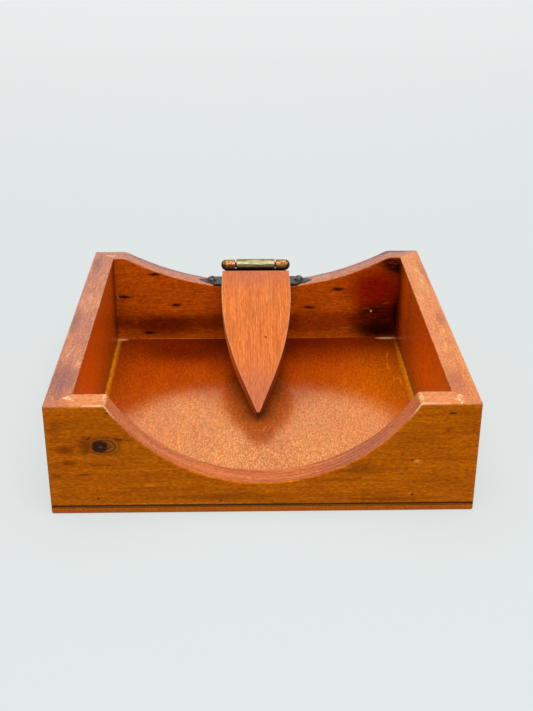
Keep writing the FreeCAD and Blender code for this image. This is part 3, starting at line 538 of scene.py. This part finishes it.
# Where the arm lies over the floor the coat is rubbed dull, and the colour there is darkened as painted
# shadow and dark reflection of the arm.
rest_wear_and_shadow = marks(tree, uneven, [
    ((-0.5, 4, PANEL_TOP), (22, 46, 6), 1.0), ((-0.8, -8, PANEL_TOP), (13, 44, 6), 1.0),
], 0.35)
upper_face = above(tree, place, FLOOR_FROM)
rubbed, rest_wear_and_shadow = (
    add_node(tree, "Math", {0: share, 1: upper_face}, operation="MULTIPLY") for share in (rubbed, rest_wear_and_shadow))
flecks = patches(tree, grain, (1.8, 0.8, 0.8), 0.5, 0.62, 5.0, 2.0)
tone = layered(tree, tone, [
    # painted shade: the floor darkens towards the back board, most at its foot
    (marks(tree, place, [((0, 110, PANEL_TOP), (ANY, 150, 3), 0.7)]), "#a83802"),
    (marks(tree, place, [((0, 100, PANEL_TOP), (170, 60, 3), 1.0), ((-44, 76, PANEL_TOP), (55, 34, 3), 0.8)]),
     "#5c0c00"),
    (marks(tree, place, [((78, 0, PANEL_TOP), (50, 90, 3), 0.65)]), "#e07004"),
    # painted reflection beside the arm, from the zones above
    (rubbed, 0.85, "#e2863e"),
    (rubbed, patches(tree, place, (15, 60, 15), 0.42, 0.6, 31.0, 1.0), 0.4, "#c87040"),
    (flecks, rubbed, 0.3, "#f8bc80"),
    (flecks, marks(tree, place, [((0, -62, PANEL_TOP), (70, 46, 6), 0.35)]), "#ffc880"),
    # painted shadow and reflection of the arm, as a darker wedge in front of its tip
    (rest_wear_and_shadow, 0.95, "#9c3a00"),
    (flecks, rest_wear_and_shadow, 0.25, "#f09030"),
    # painted shadow of the arm on the floor, darkest round its tip
    (spot(tree, place, (-0.5, 27, PANEL_TOP), (21, 54, 6), 0.5), upper_face, 0.5, "#5a1c00"),
    (marks(tree, place, [((-1.2, -10, PANEL_TOP), (13, 17, 6), 0.7)]), "#4c1000"),
    # painted reflection: bright strips along the side boards, where they are mirrored in the floor
    (marks(tree, place, [
        ((-88.6, 0, PANEL_TOP), (3.0, ANY, 2), 0.8), ((88.6, 20, PANEL_TOP), (3.4, 84, 2), 0.9),
    ]), "#f89818"),
    (marks(tree, ragged(tree, place, 1.4), [
        ((80.3, 63, PANEL_TOP), (10, 0.9, 2), 0.35, (0, 0, -101)),
        ((79, 46, PANEL_TOP), (11, 0.9, 2), 0.5, (0, 0, -86)),
        ((81, 32, PANEL_TOP), (4, 0.9, 2), 0.5, (0, 0, -72)),
        ((83, 31.5, PANEL_TOP), (3, 1.1, 2), 0.5, (0, 0, 34)),
        ((84, 27.5, PANEL_TOP), (6, 0.9, 2), 0.6, (0, 0, -94)),
    ]), "#ff9c14"),
    (marks(tree, place, [
        ((-86.5, 89.3, PANEL_TOP), (6.0, 2.6, 1), 1.0), ((83.0, 89.3, PANEL_TOP), (9.0, 2.6, 1), 1.0),
        ((-43.0, -8.5, PANEL_TOP), (1.1, 1.4, 1), 1.0),
    ]), "#f4b888"),
    # painted highlight along the seam at the foot of the back board
    (marks(tree, place, [((-20, 90.6, PANEL_TOP), (110, 1.2, 1), 0.7)]), "#d88838"),
    (groove, GROOVE_SHARE, "#140600"),
])
dent = spot(tree, place, (-1.5, -12, PANEL_TOP), (34, 40, 8))
dent = add_node(tree, "Math", {0: dent, 1: DENT_DEPTH}, operation="MULTIPLY")
varnish("bottom_panel", material, tree, grain, fibre, tone, 0.14, 1.0, 1.6, 1.0, dent, rest_wear_and_shadow)


# ---- press arm -------------------------------------------------------------------------------------
# One piece of straight grained pine, sawn to a pointed arch and rounded over a little along its edges.
ARM_WOOD = ("#f0843a", "#cc6022", "#b84c1c")
ARM_TILT = 23.2              # degrees that it slopes down to its tip, at rest
ARM_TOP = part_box("press_arm")[1].z / MM
ARM_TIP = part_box("press_arm")[0].y / MM
FLANK_FROM = 0.3             # how far sideways a face looks where its flank's painted light sets in: lighter on the left, shaded on the right
FLANK_FULL = 0.8             # and where it has come in full
ARM_SPECK_MM = (4.0, 0.6, 0.6)      # longer and finer than on the boards
material, tree, place, grain, fibre, tone = stained_pine(
    "amber_varnished_pine_arm", "y", ARM_WOOD, 31.0, 3.0, 0.4, 5.0, ARM_TILT)
hairs = patches(tree, grain, (30, 0.8, 0.8), 0.46, 0.66, 17.0, 2.0)
pale_hairs = patches(tree, grain, (20, 0.8, 0.8), 0.52, 0.7, 23.0, 2.0)
lean = math.radians(ARM_TILT)
arm_facing = (0, -math.sin(lean), math.cos(lean))
sideways = add_node(tree, "SeparateXYZ", {0: add_node(tree, "TexCoord", output="Normal")}, "X")
left_flank, right_flank = (
    add_node(tree, "MapRange", {
        "Value": sideways, "From Min": FLANK_FROM * way, "From Max": FLANK_FULL * way})
    for way in (-1, 1))
tone = layered(tree, tone, [
    (hairs, 0.45, "#a43e14"),
    (pale_hairs, 0.3, "#ffac70"),
    (marks(tree, place, [
        ((-4, 94, ARM_TOP), (44, 34, 20), 0.85), ((0, -2, 8), (26, 56, 24), 0.85),
    ]), "#c06648"),
    # painted light and shade: the left flank is painted brighter, as if lit, and the right flank dark, as
    # painted shade
    (left_flank, 0.85, "#b4581a"),
    (left_flank, marks(tree, place, [((-30, 50, 30), (40, 62, 40), 1.0)]), "#ffb040"),
    (right_flank, 0.85, "#701800"),
    # the spot at the tip is painted shade on the tip's end and underside
    (marks(tree, place, [((4.2, 34.5, 34), (1.3, 1.3, 12), 1.0), ((-1.2, ARM_TIP, 6.2), (3.0, 5, 4.2), 1.0)]),
     "#100400"),
    # painted highlight along the eased edges of the top
    (eased_edges(tree, arm_facing), 0.75, "#ffc08c"),
])
varnish("press_arm", material, tree, grain, fibre, tone, speck_mm=ARM_SPECK_MM, speck_depth=0.22)


# ---- hinge -----------------------------------------------------------------------------------------
# A decorative cabinet hinge of pressed steel.  The base leaf is copper plated, then enamelled black, and
# the enamel is gone from its two knuckles; the arm leaf is plated in antique brass; the pin is blackened.
BARREL_SHADE_BELOW = 52.4           # height on the barrel below which it is painted black, as painted shade on its underside
KNUCKLES_FROM = 52.0         # height above which the base leaf is bare copper; below it the black is its enamel, and on the knuckles' undersides painted shade
GRIT_MM = (0.5, 0.4, 0.4)    # the fine unevenness of pressed steel, under the finish
GRIT_RELIEF_MM = 0.05


def worn_metal(name, bare, rubbed, metallic, roughness, seed, brushed=(2.0, 1.0, 1.0), bare_from=0.0,
               coat="#0a0908"):
    """Plated or enamelled steel, with a second tone where it is rubbed and a fine grit under the finish.
    Below bare_from, a height in millimetres, it keeps a dark coat tone, which on the barrel's underside is
    painted shade."""
    material, tree = new_material(name)
    place = add_node(tree, "VectorMath", {
        0: add_node(tree, "TexCoord", output="Object"), "Scale": 1 / MM}, operation="SCALE")
    tone = layered(tree, colour(bare), [(patches(tree, place, brushed, 0.4, 0.62, seed, 4.0), rubbed)])
    grit = patches(tree, place, GRIT_MM, 0.2, 0.8, seed, 3.0)
    bump = add_node(tree, "Bump", {"Height": grit, "Strength": 0.3, "Distance": GRIT_RELIEF_MM * MM})
    shader = {"Base Color": tone, "Metallic": metallic, "Roughness": roughness, "Normal": bump}
    if bare_from:
        bared = above(tree, place, bare_from)
        coated = layered(tree, colour(coat), [(bared, bare)])
        shader["Base Color"] = add_node(tree, "Mix", {0: bared, 6: coated, 7: tone}, 2, data_type="RGBA")
        shader["Metallic"] = add_node(tree, "Math", {0: bared, 1: metallic}, operation="MULTIPLY")
    add_node(tree, "OutputMaterial", {"Surface": add_node(tree, "BsdfPrincipled", shader)})
    return material


dress("hinge_base_leaf", worn_metal("black_enamelled_copper_plate", "#c48c56", "#60340c", 1.0, 0.38, 1.0,
                                    (1.6, 1.0, 1.0), KNUCKLES_FROM, "#2c2a28"))
dress("hinge_arm_leaf", worn_metal("antique_brass_plate", "#6a5e3c", "#b0a67e", 1.0, 0.36, 2.0,
                                   (5.0, 0.5, 0.5), BARREL_SHADE_BELOW))
dress("hinge_pin", worn_metal("blackened_steel", "#2c1e12", "#8c6838", 1.0, 0.35, 3.0,
                              (1, 1, 1), BARREL_SHADE_BELOW))


# ---- screws and brads ------------------------------------------------------------------------------
# Slotted screws, black enamelled in the base leaf and zinc plated under the arm.  The brads are steel wire,
# punched in and varnished over with the tray, so that their heads take its amber tone.
black_screw = worn_metal("black_enamelled_screw", "#12100e", "#7c776a", 0.0, 0.3, 4.0, (1.2, 1.2, 1.2))
steel_screw = worn_metal("zinc_plated_steel", "#8c8878", "#b0ac9c", 1.0, 0.4, 5.0)
brad_wire = worn_metal("varnished_steel_wire", "#94673a", "#6a4426", 1.0, 0.35, 6.0, (0.5, 0.5, 4.0))
for side in ("left", "right"):
    dress("base_leaf_screw_" + side, black_screw)
    dress("arm_leaf_screw_" + side, steel_screw)
for node in nodes:
    if "brads" in node:
        dress(node, brad_wire)
